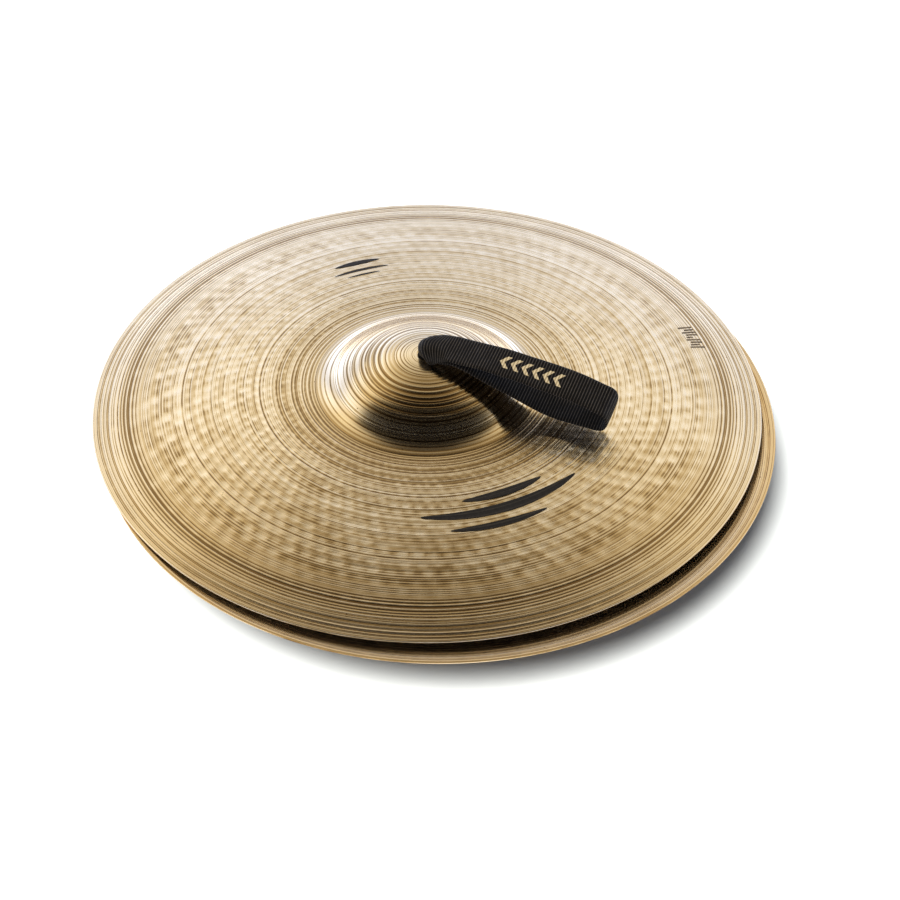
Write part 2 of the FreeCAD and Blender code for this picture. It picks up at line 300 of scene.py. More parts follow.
def placed(points, centre, up):
    """Millimetres from a cymbal's axis, bell up, as places in the row frame."""
    return np.array(centre) + MM * points * np.array((1, up, up))


# ---------------------------------------------------------------- the cymbals

# Points in each ring, on the hammered zone and elsewhere; that zone's limits and the crown's
# radius; how much is rounded off each edge.
FINE, COARSE = 384, 192
HAMMERED = (80.0, 216.0)
CROWN = 24.0
EDGE_ROUND = 0.25
# Rings over the outer face, by radius, and over the inner face.
INWARD = (
    (np.arange(RIM_RADIUS - EDGE_ROUND, HAMMERED[1], -0.6), COARSE),
    (np.arange(HAMMERED[1], HAMMERED[0], -0.8), FINE),
    (np.arange(HAMMERED[0], CROWN, -0.85), COARSE),
    (np.linspace(CROWN, HOLE_RADIUS + EDGE_ROUND, 14), COARSE),
)
OUTWARD = np.concatenate([np.linspace(HOLE_RADIUS + EDGE_ROUND, 70.0, 16),
                          np.linspace(74.0, RIM_RADIUS - EDGE_ROUND, 34)])
RIM_HEIGHTS = (0.22, 0.5, 0.78)

# Furrows beside the rim, with a plain band between: distance from the rim, width, depth.
RIM_FURROWS = ((2.6, 1.6, 0.22), (5.4, 1.9, 0.32), (8.4, 2.0, 0.29), (11.2, 1.6, 0.16),
               (20.4, 1.4, 0.10), (23.0, 1.7, 0.20), (26.2, 1.9, 0.28), (29.2, 1.7, 0.24))
# Turned steps round the bell: radius, width, depth.
BELL_STEPS = ((24.0, 1.6, 0.08), (27.0, 1.6, 0.08), (30.0, 1.7, 0.11), (34.2, 1.9, 0.17),
              (38.2, 2.0, 0.19), (42.2, 2.0, 0.17), (46.6, 2.1, 0.16), (51.8, 2.2, 0.15),
              (57.0, 2.0, 0.10))
# The ridged bow: its limits from the rim, its furrows' widths, depths and distances apart, and
# how strong they are on the way in.
BOW_FROM, BOW_TO = 31.8, 165.0
BOW_WIDTH, BOW_DEPTH, BOW_GAP = (1.2, 1.8), (0.08, 0.29), (1.8, 3.0)
BOW_STRENGTH = ((30, 55, 85, 165), (1.0, 0.95, 0.85, 0.90))

# Hammer dents: how many round each ring, how deep, and the first and last ring's radius.
OUTER_DENTS = (96, (0.20, 0.54), HAMMERED[0] + 4, HAMMERED[1] - 3)
INNER_DENTS = (48, (0.02, 0.08), 88.0, 208.0)
# In parts of the distance from one dent to the next: between rings, each ring's turn on from the
# last, a dent's half width and half length, and how far it strays.
RING_STEP, RING_TURN, DENT_WIDTH, DENT_LENGTH, DENT_STRAY = 0.66, 0.27, 0.25, 0.30, 0.10
# The lathe skims the high places and misses the dents: the depth that halts it, its range.
SKIM_DEPTH, SKIM_RANGE = 0.30, (0.20, 1.35)
# The side on which the dents and the turned lines are fainter, and how much; there the dark lines
# are also painted lighter, painted light for how that side is lit.
FAINT_HEADING = math.radians(99.0)
FAINT_DENTS, FAINT_LINES, FAINT_SIDE_PAINTED_LIGHT = 0.55, 0.35, 0.13
# The depths from which a furrow is darkest and a dent cleanest; the radii over which the dirt and
# painted shade in the furrows lessen towards the rim, and their share there.
DARK_VALLEY, CLEAN_HOLLOW = 0.17, 0.40
CLEAN_RIM = ((225.0, 231.0), (1.0, 0.22))
# Painted shade inside each disc, for the dark gap between them: the radius it lies within, its
# strength; its edge's width.
PAINTED_GAP_SHADE = {"upper": (240.0, 0.95), "lower": (231.0, 0.66)}
GAP_SHADE_EDGE = 9.0


def groove(radii, place, width, depth):
    """One lathed furrow: a smooth dip of that width, with its far wall the steeper."""
    t = (radii - place) / width
    return -depth * np.exp(-np.power(np.abs(t) * 2.2, 2.0)) * (1 + 0.35 * np.tanh(3 * t))


def outer_lathing(radii, rng):
    """Height of the lathe work over the outer face, in millimetres, at each radius."""
    relief = np.zeros_like(radii)
    from_rim = RIM_RADIUS - radii
    for furrow in RIM_FURROWS:
        relief += groove(from_rim, *furrow)
    place = BOW_FROM
    while place < BOW_TO:
        strength = np.interp(place, *BOW_STRENGTH)
        width = rng.uniform(*BOW_WIDTH)
        relief += groove(from_rim, place, width, strength * rng.uniform(*BOW_DEPTH))
        place += rng.uniform(*BOW_GAP)
    for step in BELL_STEPS:
        relief += groove(radii, *step)
    return relief


def hammer_dents(radii, angles, rng, per_ring, depths, inner, outer):
    """Heights of hammer dents in slanting rows, in millimetres, for each radius and angle."""
    dents = np.zeros((len(radii), len(angles)))
    pitch_angle = FULL_TURN / per_ring
    fading = ((inner, inner + 20, inner + 48, outer - 26, outer), (0.16, 0.50, 1.0, 1.0, 0.30))
    ring, turn = inner, 0.0
    while ring < outer:
        spacing = ring * pitch_angle * RING_STEP
        rows = np.abs(radii - ring) < 1.6 * spacing
        shape = np.zeros((int(rows.sum()), len(angles)))
        for k in range(per_ring):
            centre = turn + (k + rng.uniform(-DENT_STRAY, DENT_STRAY)) * pitch_angle
            place = ring + rng.uniform(-DENT_STRAY, DENT_STRAY) * spacing
            width = DENT_WIDTH * pitch_angle * rng.uniform(0.88, 1.15)
            off = (angles - centre + math.pi) % FULL_TURN - math.pi
            columns = np.abs(off) < 3 * pitch_angle
            across = np.exp(-(off[columns] / width) ** 2 / 2)
            along = np.exp(-((radii[rows] - place) / (DENT_LENGTH * spacing)) ** 2 / 2)
            shape[:, columns] += rng.uniform(*depths) * along[:, None] * across[None]
        dents[rows] -= np.interp(ring, *fading) * shape
        ring += spacing * rng.uniform(0.97, 1.03)
        turn += pitch_angle * (RING_TURN + rng.uniform(0.0, 0.08))
    return dents


def ring_faces(counts):
    """Faces joining closed rings of points, each with as many as the next, half or twice."""
    starts = np.concatenate([[0], np.cumsum(counts)])
    faces = []
    for k, count in enumerate(counts):
        after = (k + 1) % len(counts)
        a, b, other = int(starts[k]), int(starts[after]), counts[after]
        for j in range(min(count, other)):
            if count == other:
                faces.append((a + j, a + (j + 1) % count, b + (j + 1) % count, b + j))
            elif count < other:
                faces.append((a + j, a + (j + 1) % count,
                              b + (2 * j + 2) % other, b + 2 * j + 1, b + 2 * j))
            else:
                faces.append((a + 2 * j, a + 2 * j + 1, a + (2 * j + 2) % count,
                              b + (j + 1) % other, b + j))
    return faces


class Rings:
    """Closed rings of points in order, with what the material needs to know at each point."""

    def __init__(self):
        self.counts = []
        self.columns = []

    def add(self, radii, heights, count, outer=0.0, valleys=None, hollows=None):
        """Rings of equal count; the rest is one value a ring, or a row of values round it."""
        none = np.zeros(len(radii))
        valleys = none if valleys is None else valleys
        hollows = none if hollows is None else hollows
        angles = circle(count)
        for radius, height, valley, hollow in zip(radii, heights, valleys, hollows):
            self.counts.append(count)
            rest = [np.broadcast_to(values, count) for values in (height, outer, valley, hollow)]
            self.columns.append([radius * np.cos(angles), radius * np.sin(angles), *rest])

    def joined(self):
        """Each kind of value as one array over all the points."""
        return [np.concatenate(values) for values in zip(*self.columns)]


def make_cymbal(side, seed):
    """A lathed and hammered disc, outer face, rim, inner face and hole edge in one mesh."""
    rng = np.random.default_rng(seed)
    centre, up = centre_of(side)
    rings = Rings()
    lathing = outer_lathing(np.concatenate([radii for radii, _ in INWARD]), rng)
    start = 0
    for radii, count in INWARD:
        relief = lathing[start:start + len(radii)][:, None]
        start += len(radii)
        base = height_at(OUTSIDE, radii)[:, None]
        if count == FINE:
            angles = circle(count)
            dents = hammer_dents(radii, angles, rng, *OUTER_DENTS)
            skim = np.clip(SKIM_RANGE[1] + dents / SKIM_DEPTH, *SKIM_RANGE)
            faint = (0.5 + 0.5 * np.cos(angles - FAINT_HEADING)) ** 1.5
            dents *= 1 - FAINT_DENTS * faint
            skim *= 1 - FAINT_LINES * faint
            # On the faint side the dark lines are painted lighter: painted light.
            rings.add(radii, base + relief * skim + dents, count, 1.0, -relief * skim,
                      -dents + FAINT_SIDE_PAINTED_LIGHT * faint)
        else:
            rings.add(radii, base + relief, count, 1.0, -relief)
    for z in (OUTSIDE[-1][1] - EDGE_ROUND, INSIDE[-1][1] + EDGE_ROUND):
        rings.add([HOLE_RADIUS], [z], COARSE)
    dents = hammer_dents(OUTWARD, circle(COARSE), rng, *INNER_DENTS)
    rings.add(OUTWARD, height_at(INSIDE, OUTWARD)[:, None] + dents, COARSE)
    for z in RIM_HEIGHTS:
        rings.add([RIM_RADIUS], [z], COARSE, 0.5)
    x, y, z, outer, valley, hollow = rings.joined()
    piece = mesh_object(f"{side}_cymbal_disc", placed(np.stack([x, y, z], axis=-1), centre, up),
                        ring_faces(rings.counts))
    radius = np.hypot(x, y)
    store(piece, "radius_mm", radius)
    store(piece, "outer_face", outer)
    store(piece, "valley", np.clip(valley / DARK_VALLEY, 0, 1) * np.interp(radius, *CLEAN_RIM))
    store(piece, "hollow", np.clip(hollow / CLEAN_HOLLOW, 0, 1))
    # Painted shade on the inner face within a radius, standing in for the dark gap between the
    # discs.
    shade_radius, shade = PAINTED_GAP_SHADE[side]
    gap_shade = (outer == 0) * np.clip((shade_radius - radius) / GAP_SHADE_EDGE, 0, 1)
    store(piece, "inside", gap_shade * shade)
    piece.data.materials.append(bronze_material())
    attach(piece, f"{side}_cymbal")
    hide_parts(f"{side}_cymbal")


# Bronze from clean to darkest: the dark end carries dirt, pits and the painted shade in the
# furrows.
BRONZE_BY_DIRT_AND_SHADE = ((0.0, (0.90, 0.725, 0.475)), (0.25, (0.82, 0.635, 0.385)),
                  (0.6, (0.60, 0.41, 0.185)), (1.0, (0.24, 0.135, 0.045)))
# Inner faces: a duller, warmer tone, partly a painted reflection of the other disc's gold.
INNER_TONE_AND_REFLECTED_GOLD = (0.84, 0.74, 0.58, 1)
# The colour of the painted shade in the gap between the discs.
GAP_SHADE_BRONZE = (0.14, 0.097, 0.052, 1)


@functools.cache
def bronze_material():
    """Lathed bronze: highlights stretch across the grooves, which run round the axis."""
    n = Material("lathed_bronze")
    place = n.place()
    radius, valley = n.attribute("radius_mm"), n.attribute("valley")
    between = n.math("SUBTRACT", 1.0, n.attribute("hollow"), clamp=True)
    wandering = n.blend(n.noise(place, 14.0, 2.0), 0.8, radius)
    fine = n.noise(wandering, 0.75, 1.5, 0.6)
    broad = n.noise(wandering, 0.21, 2.5, 0.6)
    patch = n.noise(place, 85.0, 3.0, 0.6)
    cloud = n.noise(place, 16.0, 3.0, 0.55)
    # Thin dark lines left in the low places, darkest between the hammer dents; the furrows' depth
    # adds dirt and painted shade.
    thin = n.math("MULTIPLY", n.math("SUBTRACT", 0.48, fine), 9.0, clamp=True)
    broken = n.blend(n.product(patch, between), 1.6, 0.10)
    lines = n.math("MULTIPLY", thin, broken, clamp=True)
    dirt_and_shade = n.blend(n.product(valley, between), 0.82, n.product(lines, 0.78))
    dirt_and_shade = n.blend(n.math("SUBTRACT", between, 0.6), 0.12, dirt_and_shade)
    # A few dark pits, then slow changes round the disc and over it.
    few = n.math("GREATER_THAN", n.noise(place, 22.0, 1.0), 0.56)
    pit = n.math("LESS_THAN", n.cells(place, 110.0)["Distance"], 0.055)
    dirt_and_shade = n.math("ADD", dirt_and_shade, n.product(pit, n.product(few, between)))
    dirt_and_shade = n.blend(n.math("SUBTRACT", 0.5, broad), 0.7, dirt_and_shade)
    dirt_and_shade = n.blend(n.math("SUBTRACT", 0.5, cloud), 0.35, dirt_and_shade)
    warm = n.ramp(n.math("ADD", dirt_and_shade, 0.15), BRONZE_BY_DIRT_AND_SHADE, "LINEAR")
    # The inner faces are warmed and darkened: their own duller tone and a painted reflection of
    # gold.
    inner = n.mix(1.0, warm, INNER_TONE_AND_REFLECTED_GOLD, "MULTIPLY")
    faces = n.mix(n.attribute("outer_face"), inner, warm)
    # The bell is smoother than the bow, and the lathe left the crown and the foot smoothest.
    on_bell = n.math("MULTIPLY", n.math("SUBTRACT", 80.0, radius), 0.16, clamp=True)
    crown = n.math("MULTIPLY", n.math("SUBTRACT", 30.0, radius), 0.12, clamp=True)
    foot = n.math("COMPARE", radius, 69.0, 15.0)
    smooth = n.math("MAXIMUM", n.math("MAXIMUM", crown, foot), n.product(on_bell, 0.5))
    tangent = n.add("ShaderNodeTangent", direction_type="RADIAL", axis="Z")
    # The stored inside value mixes in the painted shade of the gap between the discs.
    n.surface(Base_Color=n.mix(n.attribute("inside"), faces, GAP_SHADE_BRONZE), Metallic=1.0,
              Anisotropic=0.85, Anisotropic_Rotation=0.25, Tangent=tangent.outputs[0],
              Roughness=n.blend(fine, 0.08, n.blend(on_bell, -0.085, 0.205)))
    ridges = n.math("ADD", n.product(fine, 0.7), broad)
    n.bump(n.product(ridges, n.blend(smooth, -0.80, 1.0)), 0.00032, 0.85)
    return n.material


# ---------------------------------------------------------------- the straps

WIDTH = 25.4
HALF_THICK = 0.9
RIB_PITCH = 2.1
THREAD_PITCH = 0.62
COLUMNS = np.linspace(-1, 1, 7)
# The way each strap lies from its cymbal's axis.
HEADINGS = {"upper": 0.0, "lower": math.radians(137.0)}
# The gold chevrons, in millimetres along the strap: first, last, spacing, width, half reach.
CHEVRONS = (96.0, 144.0, 8.0, 3.4, 5.6)
# No part of a strap is lower than this, so that the folded one rests on the floor.
LOWEST = 0.02 * MM
# The net's rows on a loop: their spacing, and the run round its end where they are closer
# together: how far before the end and after it that reaches, and how many rows it has.
ROW_SPACING, END_BEFORE, END_AFTER, END_ROWS = 9.0, 14, 26, 13
# The mesh: its rows' spacing along a strap, and points for each gap of the net along and across.
MESH_STEP, PER_GAP, PER_COLUMN = 0.42, 8, 3


def tube(radius, reach, z):
    """A strap's width rolled round the hole's axis: seven places from edge to edge."""
    turn = COLUMNS * reach
    return np.stack([-radius * np.cos(turn), radius * np.sin(turn), np.full(7, z)], axis=-1)


def band(s, z, roll):
    """A strap's width lying flat and rolled about its length, the near edge lower."""
    across = COLUMNS * WIDTH / 2
    angle = math.radians(roll)
    away, up = across * math.cos(angle), z + across * math.sin(angle)
    return np.stack([np.full(7, s), away, up], axis=-1)


def arch(*places):
    """A strap's width through seven given places, from the near edge to the far edge."""
    return np.array(places, float)


def smooth_rows(rows, per_gap):
    """Points on a smooth curve through rows of places (centripetal Catmull-Rom)."""
    rows = np.asarray(rows, float)
    first, last = 2 * rows[0] - rows[1], 2 * rows[-1] - rows[-2]
    padded = np.concatenate([[first], rows, [last]])
    centres = padded.reshape(len(padded), -1, 3)
    gaps = np.sqrt(np.linalg.norm(np.diff(centres, axis=0), axis=2).mean(axis=1)) + 1e-6
    out = []
    for k in range(1, len(padded) - 2):
        p0, p1, p2, p3 = padded[k - 1:k + 3]
        d1, d2, d3 = gaps[k - 1:k + 2]
        m1 = ((p1 - p0) / d1 - (p2 - p0) / (d1 + d2) + (p2 - p1) / d2) * d2
        m2 = ((p2 - p1) / d2 - (p3 - p1) / (d2 + d3) + (p3 - p2) / d3) * d2
        for t in np.linspace(0, 1, per_gap, endpoint=False):
            out.append((2 * t ** 3 - 3 * t ** 2 + 1) * p1 + (t ** 3 - 2 * t ** 2 + t) * m1
                       + (-2 * t ** 3 + 3 * t ** 2) * p2 + (t ** 3 - t ** 2) * m2)
    out.append(rows[-1])
    return np.array(out)


def even_rows(rows, step):
    """The same run of rows, resampled at even steps along its middle; also each row's distance."""
    along = distances(*rows[:, rows.shape[1] // 2].T)
    at = np.arange(0, along[-1], step)
    flat = rows.reshape(len(rows), -1)
    out = np.stack([np.interp(at, along, column) for column in flat.T], axis=-1)
    return out.reshape(len(at), -1, 3), at


def path_rows(corners, skip_first, skip_last, rolls):
    """Flat rows along straight runs and arcs, closer together round the loop's end."""
    s, z = rounded_outline(corners, math.radians(4))
    along = distances(s, z)
    end = along[np.argmax(s)]
    before, after = end - END_BEFORE, end + END_AFTER
    places = np.concatenate([np.arange(skip_first, before, ROW_SPACING),
                             np.linspace(before, after, END_ROWS),
                             np.arange(after + ROW_SPACING, along[-1] - skip_last, ROW_SPACING)])
    return [band(np.interp(at, along, s), np.interp(at, along, z),
                 np.interp(at / along[-1], *rolls)) for at in places]


def webbing(net, rng):
    """A ribbed strap from a net of places: ribs across it, a selvedge along both edges."""
    rows, along = even_rows(smooth_rows(net, PER_GAP), MESH_STEP)
    rows = smooth_rows(rows.transpose(1, 0, 2), PER_COLUMN).transpose(1, 0, 2)
    count, wide = rows.shape[:2]
    crosswise = np.gradient(rows, axis=1)
    normal = np.cross(crosswise, np.gradient(rows, axis=0))
    normal /= np.linalg.norm(normal, axis=2, keepdims=True)
    v = np.linspace(-1, 1, wide)
    ribs = 0.5 + 0.5 * np.cos(FULL_TURN * along / RIB_PITCH)
    # Slow unevenness in the weave, and a slightly thinner woven edge.
    waves = sum(rng.uniform(0.03, 0.09) * np.sin(along[:, None] * rng.uniform(0.05, 0.22)
                                                 + v[None] * rng.uniform(0.5, 3.0)
                                                 + rng.uniform(0, 6)) for _ in range(6))
    edge = np.clip((np.abs(v) - 0.86) / 0.14, 0, 1)[None]
    half = HALF_THICK - 0.16 + 0.20 * ribs[:, None] * (1 - 0.6 * edge) - 0.25 * edge ** 2
    top = rows + normal * (half + waves)[:, :, None]
    under = rows + normal * (-half + waves)[:, :, None]
    out = crosswise / np.linalg.norm(crosswise, axis=2, keepdims=True)
    lip = 0.40 + 0.22 * ribs[:, None, None]
    near = (top[:, :1] + under[:, :1]) / 2 - out[:, :1] * lip
    far = (top[:, -1:] + under[:, -1:]) / 2 + out[:, -1:] * lip
    loops = np.concatenate([near, top, far, under[:, ::-1]], axis=1)
    size = loops.shape[1]
    faces = grid_faces(count, size, flip=True)
    faces += [tuple(range(size)), tuple(reversed(range((count - 1) * size, count * size)))]
    across = np.concatenate([[-1.03], v, [1.03], v[::-1]]) * WIDTH / 2
    outer_ply = np.concatenate([np.zeros(wide + 2), np.ones(wide)])
    return (loops.reshape(-1, 3), faces, np.repeat(along, size), np.tile(across, count),
            np.tile(outer_ply, count))


# Each loop's line from its fold out to its end and back underneath: distance from the axis,
# height, and the radius that rounds the corner; then its roll in degrees along the way.
UPPER_PATH = ((6.5, 60.3, 0), (55.0, 60.3, 230), (112.0, 53.6, 140), (139.0, 45.5, 6.2),
              (139.0, 32.2, 6.2), (98.0, 32.2, 90), (26.0, 57.6, 40), (11.4, 57.2, 0))
UPPER_ROLLS = ((0, 0.12, 0.30, 0.46, 0.56, 0.75, 1), (4, 5, 9, 11, 11, 7, 3))
LOWER_PATH = ((11.2, 54.8, 0), (126.0, 54.8, 4.0), (126.0, 46.0, 4.0), (84.0, 52.6, 60),
              (11.2, 52.6, 0))
LOWER_ROLLS = ((0, 1), (0, 0))


def outer_tail(top):
    """The end that comes up through the hole, rolled round the other one."""
    return [tube(4.7, 2.55, z) for z in (24.0, 30.0, 36.0, 42.0, 47.0, top)]


def inner_tail():
    """The end that goes back down through the hole, inside the first."""
    return [tube(2.7, 2.5, z) for z in (49.0, 45.0, 40.0, 35.0, 30.0, 24.0)]


def upper_net():
    """Out of the hole, over in a rounded hood, along the top, round the end and back."""
    hood = [
        arch((4.4, -3.4, 51.2), (2.6, -6.0, 52.8), (-2.4, -6.4, 54.6), (-5.5, 0.0, 55.6),
             (-3.0, 6.0, 55.2), (1.8, 6.2, 54.0), (4.6, 3.6, 52.6)),
        arch((5.4, -8.2, 50.9), (2.0, -9.4, 54.6), (-2.6, -6.8, 58.2), (-4.7, 0.0, 59.2),
             (-2.6, 5.4, 58.9), (1.0, 7.8, 58.0), (4.6, 8.2, 56.4)),
        arch((7.0, -11.4, 51.4), (4.2, -11.6, 55.6), (0.0, -7.6, 60.0), (-1.6, 0.0, 61.0),
             (0.4, 5.2, 61.0), (3.0, 8.6, 60.4), (6.2, 10.6, 59.2)),
        arch((10.0, -12.5, 53.6), (8.0, -10.4, 57.4), (5.2, -5.8, 60.4), (4.4, 0.0, 61.3),
             (5.4, 4.6, 61.4), (7.2, 8.6, 61.1), (9.0, 11.8, 60.6)),
        arch((14.4, -12.9, 56.6), (13.2, -9.2, 59.2), (11.8, -4.6, 60.6), (11.2, 0.0, 61.1),
             (11.6, 4.3, 61.3), (12.4, 8.5, 61.2), (13.2, 12.3, 61.0)),
        band(20.0, 60.4, 4.5),
    ]
    back = [
        band(21.0, 57.6, 3.0),
        arch((15.6, -10.6, 54.2), (15.0, -7.2, 56.2), (14.2, -3.6, 57.6), (14.0, 0.0, 58.0),
             (14.2, 3.6, 58.2), (14.8, 7.2, 58.1), (15.4, 10.6, 57.7)),
        arch((9.6, -8.8, 52.2), (8.6, -7.2, 54.8), (7.4, -3.6, 57.4), (6.8, 0.0, 58.2),
             (7.4, 3.6, 58.2), (8.4, 6.4, 57.4), (9.4, 8.4, 56.0)),
        arch((4.6, -5.0, 51.4), (3.2, -5.4, 54.0), (0.6, -3.8, 56.4), (-0.8, 0.0, 57.4),
             (0.6, 3.4, 57.0), (3.2, 4.8, 55.6), (4.8, 4.6, 53.6)),
        arch((2.8, -2.0, 50.8), (2.0, -2.9, 52.0), (-1.0, -2.8, 53.4), (-2.9, 0.0, 54.2),
             (-1.0, 2.7, 53.8), (2.0, 2.8, 52.6), (2.9, 1.9, 51.6)),
    ]
    loop = path_rows(UPPER_PATH, 21.0, 20.0, UPPER_ROLLS)
    return outer_tail(50.5) + hood + loop + back + inner_tail()


def lower_net():
    """As the upper strap, but pressed flat between the crown and the floor."""
    hood = [
        arch((4.6, -3.6, 50.9), (2.6, -6.0, 51.6), (-2.6, -6.4, 52.6), (-5.6, 0.0, 53.0),
             (-2.8, 6.2, 52.6), (2.4, 6.2, 51.6), (4.6, 3.8, 51.0)),
        arch((5.0, -7.6, 51.4), (2.4, -8.6, 53.0), (-2.2, -6.8, 54.5), (-4.6, 0.0, 54.7),
             (-2.2, 6.8, 54.5), (2.4, 8.6, 53.2), (5.0, 7.8, 51.6)),
        arch((8.2, -11.2, 52.2), (5.2, -9.8, 54.4), (1.0, -5.4, 54.8), (-0.4, 0.0, 54.8),
             (1.0, 5.4, 54.8), (5.2, 9.8, 54.5), (8.2, 11.3, 52.6)),
        arch((13.6, -12.6, 54.5), (12.0, -8.8, 54.8), (10.6, -4.4, 54.8), (10.0, 0.0, 54.8),
             (10.6, 4.4, 54.8), (12.0, 8.8, 54.8), (13.6, 12.6, 54.6)),
    ]
    back = [
        arch((13.4, -11.0, 52.6), (12.0, -7.4, 52.7), (11.0, -3.6, 52.7), (10.6, 0.0, 52.7),
             (11.0, 3.6, 52.7), (12.0, 7.4, 52.7), (13.4, 11.0, 52.6)),
        arch((6.6, -7.4, 51.4), (5.4, -6.2, 52.3), (3.6, -3.6, 52.7), (2.6, 0.0, 52.8),
             (3.6, 3.6, 52.7), (5.4, 6.2, 52.3), (6.6, 7.4, 51.4)),
        arch((3.4, -2.4, 50.6), (2.2, -3.4, 51.2), (-0.8, -3.1, 52.0), (-2.6, 0.0, 52.2),
             (-0.8, 3.1, 52.0), (2.2, 3.4, 51.2), (3.4, 2.4, 50.6)),
    ]
    loop = path_rows(LOWER_PATH, 10.0, 8.0, LOWER_ROLLS)
    return outer_tail(50.0) + hood + loop + back + inner_tail()


def make_strap(side, seed):
    """One webbing strap, from its bound tails in the bell out of the hole and round the loop."""
    rng = np.random.default_rng(seed)
    centre, up = centre_of(side)
    net = upper_net() if side == "upper" else lower_net()
    points, faces, along, across, outer_ply = webbing(net, rng)
    heading = Vector((math.cos(HEADINGS[side]), math.sin(HEADINGS[side]), 0))
    left = Vector((-heading.y, heading.x, 0)) * up
    spot = np.array(centre) + MM * (points[:, :1] * np.array(heading)
                                    + points[:, 1:2] * np.array(left)
                                    + points[:, 2:] * np.array((0, 0, up)))
    spot[:, 2] = np.maximum(spot[:, 2], LOWEST)
    piece = mesh_object(f"{side}_strap_webbing", spot, faces)
    store(piece, "along_mm", along)
    store(piece, "across_mm", across)
    store(piece, "outer_ply", outer_ply)
    piece.data.materials.append(webbing_material())
    neck, loop = f"{side}_strap_neck", f"{side}_strap_loop"
    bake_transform(piece)
    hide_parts(neck, loop)


# Black webbing, from its dark valleys to painted highlights on the rib crests.
WEBBING_BY_PAINTED_HIGHLIGHT = ((0.0, (0.0016, 0.0012, 0.0008)), (0.35, (0.0065, 0.0050, 0.0034)),
                    (0.9, (0.105, 0.082, 0.058)))
GOLD_DARK, GOLD_PAINTED_HIGHLIGHT = (0.20, 0.125, 0.045, 1), (0.80, 0.62, 0.34, 1)


@functools.cache
def webbing_material():
    """Black ribbed polyester webbing: a rib every two millimetres, thin threads over each."""
    n = Material("ribbed_webbing")
    place = n.place()
    along, across = n.attribute("along_mm"), n.attribute("across_mm")

    def wave(distance, pitch):
        return n.blend(n.math("COSINE", n.product(distance, FULL_TURN / pitch)), 0.5, 0.5)

    rib, thread = wave(along, RIB_PITCH), wave(across, THREAD_PITCH)
    fuzz = n.noise(place, 2600.0, 3.0, 0.7)
    worn = n.noise(place, 120.0, 3.0, 0.6)
    # Painted highlights on the rib crests, broken by the threads, by fuzz and by wear.
    shade = n.product(n.math("POWER", rib, 4.0), n.blend(thread, 0.45, 0.55))
    shade = n.product(shade, n.blend(fuzz, 0.9, 0.5))
    shade = n.math("MULTIPLY", shade, n.blend(worn, 0.8, 0.55), clamp=True)
    black = n.ramp(shade, WEBBING_BY_PAINTED_HIGHLIGHT, "LINEAR")
    # A plain row of woven gold chevrons along the part that the hand leaves in sight.
    first, last, spacing, width, reach = CHEVRONS
    half_span = (last - first) / 2
    slant = n.blend(n.math("ABSOLUTE", across), -0.75, n.math("SUBTRACT", along, first))
    bar = n.math("LESS_THAN", n.math("WRAP", slant, spacing, 0.0), width)
    inside = n.math("LESS_THAN", n.math("ABSOLUTE", across), reach)
    span = n.math("COMPARE", slant, half_span, half_span)
    gold = n.product(n.product(bar, inside), n.product(span, n.attribute("outer_ply")))
    # The gold yarn is painted lighter on the rib crests, a painted highlight, and varies with
    # fuzz.
    yarn = n.mix(n.blend(rib, 0.6, n.product(fuzz, 0.4)), GOLD_DARK, GOLD_PAINTED_HIGHLIGHT)
    n.surface(Base_Color=n.mix(gold, black, yarn), Roughness=n.blend(rib, -0.18, 0.72),
              Specular_IOR_Level=0.13, Specular_Tint=(1.0, 0.80, 0.56, 1), Sheen_Weight=0.02,
              Sheen_Tint=(1.0, 0.88, 0.72, 1), Sheen_Roughness=0.45)
    height = n.math("ADD", n.product(rib, 0.8), n.product(n.product(thread, rib), 0.6))
    n.bump(n.blend(fuzz, 0.25, height), 0.00016, 0.9)
    return n.material


# ---------------------------------------------------------------- washers, pins and bindings

# The felt disc's section: radius, height up the axis, and the radius that rounds the corner.
FELT = ((6.6, 44.2, 0), (15.9, 44.2, 0.9), (15.9, 46.9, 0.7), (9.0, 47.7, 3.0), (6.6, 47.8, 0))
FELT_STEP, FELT_COLUMNS = 0.45, 144
# The thread's turns round the tails: how many, their radius, the thread's half thickness, the
# lowest turn's height, the height that they take, and the run in which its plies turn a radian.
TURNS, TURN_RADIUS, THREAD_HALF, TURNS_FROM, TURNS_RISE, TWIST = 5.15, 5.85, 0.43, 28.05, 4.1, 0.55
THREAD_SIDES, STEPS_A_TURN = 14, 72


def smooth_random(rng, angle, waves, size):
    """A smooth random wobble round a circle."""
    return size * sum(rng.uniform(-1, 1) * np.cos(k * angle + rng.uniform(0, FULL_TURN)) / k ** 0.7
                      for k in waves)


def make_felt(side, seed):
    """The thick felt disc inside the bell, its edges rounded and a little uneven."""
    rng = np.random.default_rng(seed)
    centre, up = centre_of(side)
    angles = circle(FELT_COLUMNS)
    rows = []
    for radius, height in zip(*even_outline(*rounded_outline(FELT, math.radians(15)), FELT_STEP)):
        swell = smooth_random(rng, angles, range(2, 9), 0.05)
        reach = radius + (swell + rng.normal(0, 0.045, len(angles)))
        lift = rng.normal(0, 0.035, len(angles))
        rows.append(np.stack([reach * np.cos(angles), reach * np.sin(angles), height + lift],
                             axis=-1))
    piece = mesh_object(f"{side}_felt_disc", placed(np.concatenate(rows), centre, up),
                        grid_faces(len(rows), len(angles), close_rows=True))
    piece.data.materials.append(felt_material())
    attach(piece, f"{side}_cymbal")
    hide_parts(f"{side}_felt_washer")


